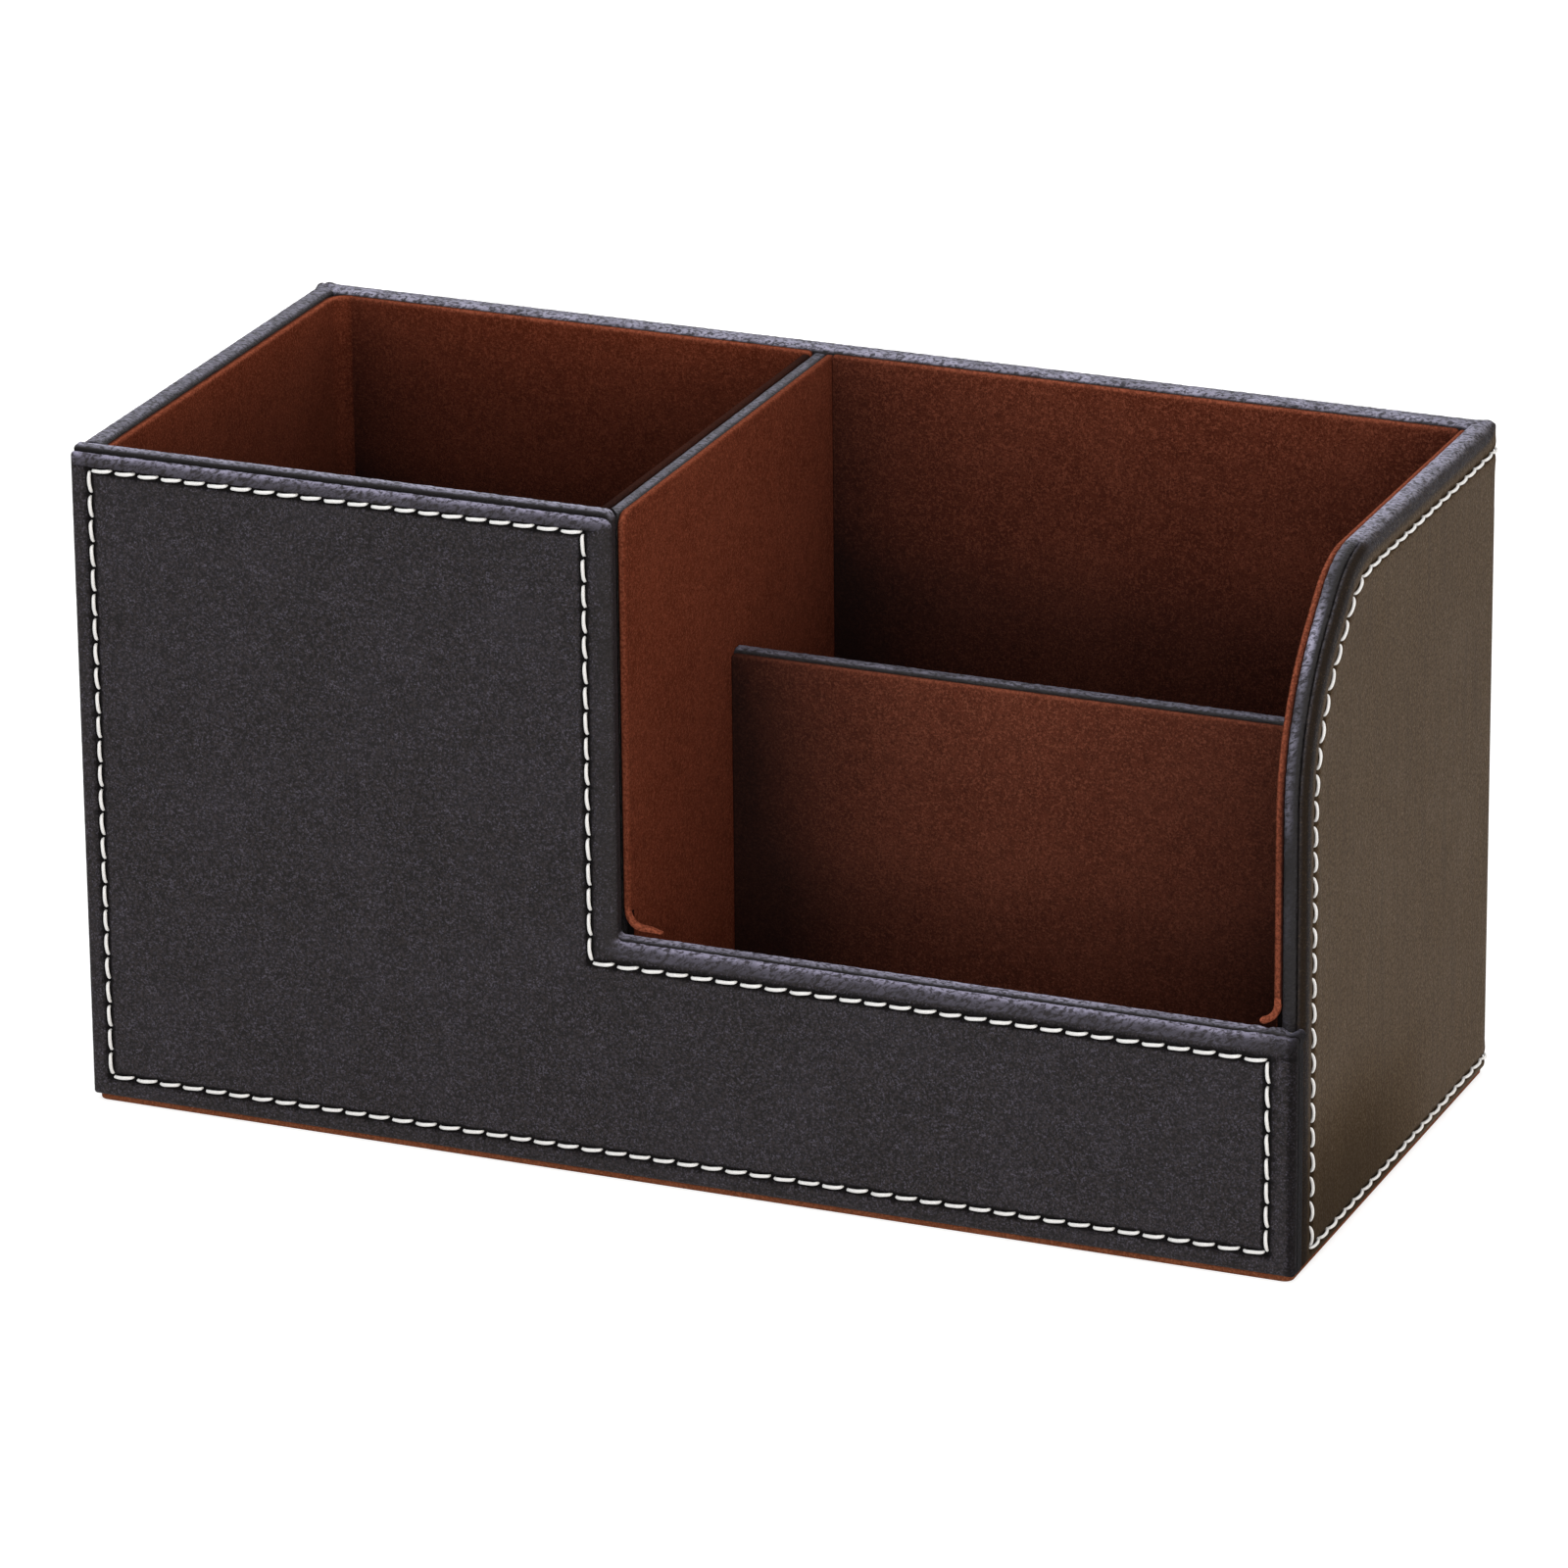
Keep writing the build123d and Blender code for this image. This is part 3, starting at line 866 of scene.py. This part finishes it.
# Flat cards, with the way each faces and how far it stands above its solid. The solid of the bin's
# front card reaches up to the top of its ears, which are curls here
below_rim = LOW_RIM - 1.0 - EAR_TOP
for base, facing, edge, deep, ends, proud in (
    ("pen_front", "+y", dark_edge, 0.45, plain_ends, 0.0),
    ("pen_right", "-x", dark_edge, 0.45, plain_ends, 0.0),
    ("slot_back", "-y", card_edge, 0.41, slot_ends, 0.2),
    ("slot_front", "+y", dark_edge, 0.3, plain_ends, 0.0),
    ("bin_back", "-y", card_edge, 0.16, bin_ends, 0.3),
    ("bin_front", "+y", dark_edge, 0.1, plain_ends, below_rim),
):
    lo, hi = box(base + "_lining")
    paths = {
        "-x": [(lo.x, hi.y), (lo.x, lo.y)],
        "-y": [(lo.x, lo.y), (hi.x, lo.y)],
        "+y": [(hi.x, hi.y), (lo.x, hi.y)],
    }
    plan = Plan(paths[facing])
    corners = panel(plan.length, lo.z, hi.z + proud)
    card(base, plan, corners, card_radii, card_sides(edge), deep, ends)

# The tray's side cards, whose front edges stop above the low rim, where they curl in
left_lo, left_hi = box("tray_left_lining")
right_lo, right_hi = box("tray_right_lining")
left_curl, right_curl = 2.65, 3.2
left_end = LOW_RIM + 0.85 + left_curl
right_end = LOW_RIM + 0.4 + right_curl

left_plan = Plan([(left_hi.x, left_lo.y), (left_hi.x, left_hi.y)])
far = left_plan.length
left_corners = [(EAR_NOTCH, left_lo.z), (far, left_lo.z), (far, left_hi.z)]
left_corners += [(0, left_hi.z), (0, left_end), (EAR_NOTCH, left_end)]
card(
    "tray_left", left_plan, left_corners, (0.1, 0.1, 0.6, 2.2, 0.1, 0.1),
    [bare, card_side, dict(card_edge, rim=0.36), dict(card_side, rim=0.4), bare, bare],
    deep=0.10, ends=(no_shade, (0.25, 30)), notch=left_end,
)

right_plan = Plan([(right_lo.x, right_hi.y), (right_lo.x, right_lo.y)])
far = right_plan.length
right_corners = [(0, right_lo.z), (far - EAR_NOTCH, right_lo.z), (far - EAR_NOTCH, right_end)]
right_corners += [(far, right_end), (far, right_hi.z - lower_drop)]
right_corners += [(far - upper_corner, right_hi.z), (0, right_hi.z)]
card(
    "tray_right", right_plan, right_corners, (0.1, 0.1, 0.1, 0.1, LOWER_BEND, UPPER_BEND, 0.4),
    [bare, bare, bare, bright_edge, bright_edge, bright_edge, card_side],
    deep=0.2, ends=(no_shade, no_shade), notch=right_end,
    fade=lambda u, v, h: 1 - ramp(v, 45, 75) * ramp(h, -0.62, -0.9),
)


def curl(name, x, end_z, radius, way, sweep, tail, width, worn_and_lit, taper):
    """The end of a side card's edge, which bends in over the low rim and tapers off."""
    depth, around, bend_steps, tail_steps = 1.1, 16, 14, 8
    path = [(x, end_z + 0.8), (x, end_z + 0.4)]
    for step in range(bend_steps + 1):
        angle = math.radians(sweep) * step / bend_steps
        path.append((x + way * radius * (1 - math.cos(angle)), end_z - radius * math.sin(angle)))
    bend_x, bend_z = path[-1]
    for step in range(1, tail_steps + 1):
        drop = 0.12 * tail * (step / tail_steps) ** 2
        path.append((bend_x + way * tail * step / tail_steps, bend_z - drop))
    widths = [width] * (len(path) - tail_steps + 1)
    widths += [taper(step / tail_steps) for step in range(1, tail_steps)]
    section = []
    for turn in range(around):
        angle = 2 * math.pi * turn / around
        swings = math.cos(angle), math.sin(angle)
        section.append([math.copysign(abs(swing) ** 0.6, swing) for swing in swings])
    middle = left_lo.y - 0.1 + depth / 2
    points = []
    for index, ((x, z), width) in enumerate(zip(path, widths)):
        before, after = path[max(index - 1, 0)], path[min(index + 1, len(path) - 1)]
        run = (Vector(after) - Vector(before)).normalized()
        for across, along in section:
            side = across * width
            points.append((x - run.y * side, middle + along * depth / 2, z + run.x * side))
    faces = [(a, d, c, b) for a, b, c, d in band_faces(0, around, len(path))]
    faces.append(tuple(range(around)))
    faces.append(tuple(len(points) - 1 - turn for turn in range(around)))
    piece = finish_mesh(name, points, faces, {"rim": [worn_and_lit] * len(points)}, nap_wrinkle)
    declare(piece, "suede", "bin_front_lining")


curl(
    "left_lining_curl", left_lo.x + CARD / 2, left_end, left_curl,
    way=1, sweep=88, tail=3.0, width=0.5, worn_and_lit=0.6,
    taper=lambda share: 0.46 * (1 - share) ** 0.7 + 0.04,
)
curl(
    "right_lining_curl", right_hi.x - CARD / 2, right_end, right_curl,
    way=-1, sweep=72, tail=0.5, width=0.56, worn_and_lit=0.75,
    taper=lambda share: 0.52 * math.sqrt(1 - share ** 2) + 0.03,
)


# Floors and the felt pad
def flat_sheet(name, node, slot, radius):
    """A flat sheet that fills its node's box, with its edges softened."""
    lo, hi = box(node)
    corners = [(lo.x, lo.y), (hi.x, lo.y), (hi.x, hi.y), (lo.x, hi.y)]
    outline = Outline(corners, (radius,) * 4, spacing=0.8)
    sides = [rounded((0.3, 0.3), (0.25, 0.25), 0.3)] * 4
    layers = edge_layers(hi.z - lo.z, sides, steps=4)
    sheet(name, node, slot, outline, layers, lambda u, v, h: (u, v, hi.z + h), spacing=6)


for base in ("pen_floor", "slot_floor", "bin_floor"):
    flat_sheet(base + "_suede", base + "_lining", "suede", 0.4)
flat_sheet("base_felt", "base_pad", "felt", 1.5)


# Materials
class Nodes:
    """A node tree, with short calls for what the finishes need."""

    def __init__(self, owner, shader="Principled BSDF"):
        owner.use_nodes = True
        self.tree = owner.node_tree
        self.shader = self.tree.nodes[shader]

    @cached_property
    def place(self):
        """Where a point lies on the object."""
        return self.node("ShaderNodeTexCoord", {}).outputs["Object"]

    def feed(self, socket, value):
        """Links a socket to an output, or sets its own number or colour."""
        if isinstance(value, bpy.types.NodeSocket):
            self.tree.links.new(value, socket)
        else:
            socket.default_value = (*value, 1) if socket.type == "RGBA" else value

    def node(self, kind, inputs, **settings):
        """A new node whose inputs are given by name or number."""
        made = self.tree.nodes.new(kind)
        for key, value in settings.items():
            setattr(made, key, value)
        for key, value in inputs.items():
            self.feed(made.inputs[key], value)
        return made

    def noise(self, size, detail=3.0, rough=0.5, place=None, distortion=0.0):
        """Noise whose features are about size millimetres."""
        inputs = {"Vector": place or self.place, "Scale": 1 / (size * MM), "Detail": detail}
        inputs.update({"Roughness": rough, "Distortion": distortion})
        return self.node("ShaderNodeTexNoise", inputs).outputs["Fac"]

    def cells(self, size, place):
        """Soft cells of about size millimetres, 0 in the middle of each."""
        inputs = {"Vector": place, "Scale": 1 / (size * MM), "Randomness": 0.95, "Smoothness": 0.35}
        return self.node("ShaderNodeTexVoronoi", inputs, feature="SMOOTH_F1").outputs["Distance"]

    def stretch(self, scale):
        """The place scaled along each axis. A small scale draws features out."""
        return self.node("ShaderNodeMapping", {"Vector": self.place, "Scale": scale}).outputs["Vector"]

    def slanted(self, turn, length):
        """The place drawn out along a leaning line, for creases that run one way."""
        inputs = {"Vector": self.place, "Rotation": turn, "Scale": (1, 1, length)}
        return self.node("ShaderNodeMapping", inputs, vector_type="TEXTURE").outputs["Vector"]

    def shifted(self, size, reach):
        """The place, moved about by soft noise, so that cells don't look regular."""
        inputs = {0: self.noise(size, 2), 1: (reach * MM,) * 3}
        move = self.node("ShaderNodeVectorMath", inputs, operation="MULTIPLY").outputs[0]
        return self.node("ShaderNodeVectorMath", {0: self.place, 1: move}, operation="ADD").outputs[0]

    def remap(self, value, low, high, new_low=0.0, new_high=1.0):
        """A value from low to high, spread over a new range and kept inside it."""
        inputs = {"Value": value, "From Min": low, "From Max": high, "To Min": new_low, "To Max": new_high}
        return self.node("ShaderNodeMapRange", inputs).outputs["Result"]

    def math(self, operation, first, second):
        return self.node("ShaderNodeMath", {0: first, 1: second}, operation=operation).outputs[0]

    def times(self, first, second):
        return self.math("MULTIPLY", first, second)

    def mix(self, share, first, second):
        """The first colour, and the second by its share, at the colour sockets."""
        inputs = {0: share, 6: first, 7: second}
        return self.node("ShaderNodeMix", inputs, data_type="RGBA").outputs[2]

    def mark(self, kind):
        """A value that the mesh carries on its points."""
        return self.node("ShaderNodeAttribute", {}, attribute_name=kind).outputs["Fac"]

    def bump(self, height, distance, strength, normal=None):
        """A relief whose height of 1 stands for a distance in millimetres."""
        inputs = {"Height": height, "Distance": distance * MM, "Strength": strength}
        if normal:
            inputs["Normal"] = normal
        return self.node("ShaderNodeBump", inputs).outputs["Normal"]

    def set(self, **values):
        """Shader inputs by name, with spaces written as underscores."""
        for key, value in values.items():
            self.feed(self.shader.inputs[key.replace("_", " ")], value)


finishes = {}


def finish(name, look, **tones):
    """A new material with one of the looks below, kept under its slot's name."""
    finishes[name] = bpy.data.materials.new(name)
    look(Nodes(finishes[name]), **tones)


def leather(n, deep, plain, lit, turned, rubbed, streak=None, shine=0.1, rough=0.5):
    """Pebbled leather, black and creased where it turns over a rim, with a painted highlight on the crown.
    """
    grain = 0.55
    pebble = n.cells(grain, n.shifted(2.4, 0.6))
    pore = n.noise(grain * 0.45, 2, 0.6)
    cluster = n.remap(n.noise(1.6, 2, 0.6, n.stretch((0.8, 0.8, 1.3))), 0.38, 0.62, 0.45, 1.0)
    fleck = n.remap(n.noise(grain * 0.5, 2, 0.6), 0.51, 0.70, 0, 1)
    flecks = n.times(fleck, cluster)
    cloud = n.noise(12, 3, 0.5)
    crease = n.noise(0.5, 3, 0.6, n.slanted((0.5, 0.9, 0.4), 2.6), 0.4)
    worn_and_lit = n.noise(4.5, 3, 0.6)
    rim, shade = n.mark("rim"), n.mark("shade")
    # Pebble hollows take the deep tone as painted shade, and flecks and clouds lean to the lit tone as
    # painted glints and sheen.
    tone = n.mix(n.remap(pebble, 0.15, 0.6), plain, deep)
    tone = n.mix(flecks, tone, lit)
    tone = n.mix(n.remap(cloud, 0.42, 0.7, 0, 0.06), tone, lit)
    if streak:
        lines = n.noise(1.1, 3, 0.6, n.stretch((1, 1, 0.04)))
        tone = n.mix(n.remap(lines, 0.44, 0.68, 0, 0.55), tone, streak)
    tone = n.mix(n.times(rim, n.remap(flecks, 0, 1, 1, 0.45)), tone, turned)
    # The crown mark paints a bright bluish highlight, broken by creases and mottled patches.
    highlight_share = n.times(n.mark("crown"), n.remap(crease, 0.395, 0.56, 0.16, 1.2))
    highlight_share = n.times(highlight_share, n.remap(worn_and_lit, 0.38, 0.6, 0.72, 1.15))
    tone = n.mix(highlight_share, tone, rubbed)
    tone = n.mix(n.remap(shade, 0, 1, 0, 0.9), tone, tuple(value * 0.3 for value in deep))
    height = n.times(n.remap(pebble, 0.1, 0.7, 1, 0), n.remap(rim, 0, 1, 1, 0.45))
    height = n.math("ADD", height, n.times(pore, 0.5))
    normal = n.bump(height, 0.07, 0.9)
    normal = n.bump(n.times(crease, rim), 0.32, 0.9, normal)
    gloss = n.remap(n.math("ADD", fleck, cloud), 0.6, 1.4, rough + 0.07, rough - 0.07)
    gloss = n.math("ADD", gloss, n.remap(shade, 0, 0.6, 0, 0.5))
    n.set(Base_Color=tone, Roughness=gloss, Normal=normal, Specular_IOR_Level=shine)


def suede(n, dark, plain, lit, edge):
    """Brushed nap: soft patches where it lies another way, fine fibre speckle, a paler edge that is partly
    worn and partly painted light, and painted shade.
    """
    patch = n.noise(16, 2, 0.5)
    brush = n.noise(1.6, 3, 0.65, n.stretch((1, 1, 0.8)), 0.2)
    fibre = n.noise(0.42, 2, 0.7)
    speck = n.noise(0.26, 2, 0.7)
    tone = n.mix(n.remap(brush, 0.32, 0.6, 0.3, 0.95), dark, plain)
    tone = n.mix(n.remap(patch, 0.42, 0.7, 0, 0.22), tone, lit)
    tone = n.mix(n.remap(fibre, 0.48, 0.64, 0, 0.85), tone, lit)
    tone = n.mix(n.remap(speck, 0.36, 0.5, 0.85, 0), tone, dark)
    worn_and_lit = n.times(n.mark("rim"), n.remap(fibre, 0.38, 0.58, 0.3, 1.15))
    tone = n.mix(worn_and_lit, tone, edge)
    tone = n.mix(n.mark("shade"), tone, (0.008, 0.006, 0.006))
    height = n.math("ADD", fibre, n.times(speck, 0.6))
    normal = n.bump(height, 0.14, 0.8)
    n.set(Base_Color=tone, Roughness=1.0, Normal=normal, Specular_IOR_Level=0.0)
    n.set(Sheen_Weight=0.05, Sheen_Roughness=0.4, Sheen_Tint=(1.0, 0.42, 0.28))


def cotton(n):
    """Waxed white sewing thread with fine fibres along its twist."""
    fibre = n.noise(0.16, 3, 0.7)
    tone = n.mix(n.remap(fibre, 0.38, 0.6), (0.84, 0.835, 0.82), (0.99, 0.99, 0.985))
    n.set(Base_Color=tone, Roughness=0.6, Normal=n.bump(fibre, 0.05, 0.7), Specular_IOR_Level=0.4)
    n.set(Sheen_Weight=0.2, Sheen_Roughness=0.5)


def board_paper(n):
    """Grey board with pulp specks."""
    pulp = n.noise(0.8, 4, 0.7)
    tone = n.mix(n.remap(pulp, 0.35, 0.65), (0.30, 0.28, 0.25), (0.42, 0.40, 0.36))
    n.set(Base_Color=tone, Roughness=0.9, Normal=n.bump(pulp, 0.05, 0.5), Specular_IOR_Level=0.15)


finish(
    "front_leather", leather,
    deep=(0.0115, 0.0098, 0.0100),
    plain=(0.0330, 0.0270, 0.0280),
    lit=(0.092, 0.083, 0.108),
    turned=(0.020, 0.017, 0.017),
    rubbed=(0.290, 0.275, 0.375),
    shine=0.13,
)
# The side leather is paler and warmer than the front's: partly its own olive-brown tone, partly painted
# light from the warm lamp on the right.
finish(
    "side_leather", leather,
    deep=(0.059, 0.0375, 0.0198),
    plain=(0.103, 0.0710, 0.0425),
    lit=(0.142, 0.103, 0.067),
    turned=(0.018, 0.0155, 0.0160),
    rubbed=(0.330, 0.320, 0.390),
    streak=(0.056, 0.037, 0.024), shine=0.06, rough=0.6,
)
finish(
    "rim_leather", leather,
    deep=(0.010, 0.009, 0.011),
    plain=(0.024, 0.022, 0.028),
    lit=(0.048, 0.046, 0.058),
    turned=(0.018, 0.0160, 0.0165),
    rubbed=(0.372, 0.360, 0.470),
    shine=0.15, rough=0.45,
)
worn_and_lit_edge = (0.40, 0.112, 0.060)
# The paler suede copies paint the light on cards that face the warm side lamp and on the bin's back, which
# faces the front.
for name, dark, plain, lit, edge in (
    ("suede", (0.056, 0.0125, 0.0066), (0.125, 0.0305, 0.0155), (0.235, 0.068, 0.037), worn_and_lit_edge),
    ("suede_warm_lit", (0.070, 0.0145, 0.0066), (0.140, 0.0310, 0.0145), (0.230, 0.060, 0.030), worn_and_lit_edge),
    ("suede_front_lit", (0.105, 0.0270, 0.0145), (0.226, 0.0595, 0.0315), (0.390, 0.122, 0.068), worn_and_lit_edge),
    ("felt", (0.09, 0.028, 0.014), (0.17, 0.052, 0.024), (0.28, 0.10, 0.05), (0.30, 0.10, 0.045)),
):
    finish(name, suede, dark=dark, plain=plain, lit=lit, edge=edge)
finish("thread", cotton)
finish("board", board_paper)


def dress(thing, name):
    """Gives an object the finish of that name alone."""
    thing.data.materials.clear()
    thing.data.materials.append(finishes[name])


# Cards in painted light take a paler copy of the suede.
lit_copies = {"tray_left_suede": "suede_warm_lit", "pen_side_back_suede": "suede_warm_lit", "bin_back_suede": "suede_front_lit"}
for piece, slot in pieces:
    dress(piece, lit_copies.get(piece.name, slot))
    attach(piece, "root")
for node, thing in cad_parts.items():
    if node.endswith("_board"):
        dress(thing, "board")

# Stage, in metres: a pale floor and a backdrop, which both show white to the camera
FLOOR_REACH = 12.0
FLOOR_TONE = 0.55
FLOOR_GLOW = 0.7
WORLD_STRENGTH = 0.6
WHITE = (1, 1, 1)


def shown_rays(n):
    """1 for camera, glossy and transmitted rays, which see the stage as white, and else 0."""
    rays = n.node("ShaderNodeLightPath", {}).outputs
    seen = n.math("MAXIMUM", rays["Is Camera Ray"], rays["Is Glossy Ray"])
    return n.math("MAXIMUM", seen, rays["Is Transmission Ray"])


def pale_floor(n):
    """A matt floor that keeps a shadow and otherwise shows nearly white."""
    n.set(Base_Color=(FLOOR_TONE,) * 3, Roughness=0.9, Specular_IOR_Level=0.0)
    n.set(Emission_Color=WHITE, Emission_Strength=n.times(shown_rays(n), FLOOR_GLOW))


floor_mesh = bpy.data.meshes.new("floor")
signs = ((-1, -1), (1, -1), (1, 1), (-1, 1))
floor_mesh.from_pydata([(x * FLOOR_REACH, y * FLOOR_REACH, 0) for x, y in signs], [], [(0, 1, 2, 3)])
floor = link("floor", floor_mesh)
finish("floor", pale_floor)
dress(floor, "floor")

world = bpy.data.worlds.new("world")
bpy.context.scene.world = world
backdrop = Nodes(world, "Background")
backdrop.set(Color=WHITE, Strength=backdrop.remap(shown_rays(backdrop), 0, 1, WORLD_STRENGTH, 1.0))

# Soft far lamps, each in the direction that it is given
LAMP_STRENGTH = 0.9
LAMP_SPREAD = math.radians(50)
for name, towards, colour in (
    ("key_light", (0.12, -0.92, 0.26), (1.0, 0.98, 0.97)),
    ("side_light", (0.90, -0.36, 0.32), (1.0, 0.88, 0.76)),
    ("top_light", (-0.10, 0.05, 0.98), (0.92, 0.95, 1.0)),
):
    lamp = link(name, bpy.data.lights.new(name, "SUN"))
    lamp.data.energy = LAMP_STRENGTH
    lamp.data.angle = LAMP_SPREAD
    lamp.data.color = colour
    lamp.rotation_euler = Vector(towards).to_track_quat("Z", "Y").to_euler()

bpy.context.scene.view_settings.view_transform = "Standard"
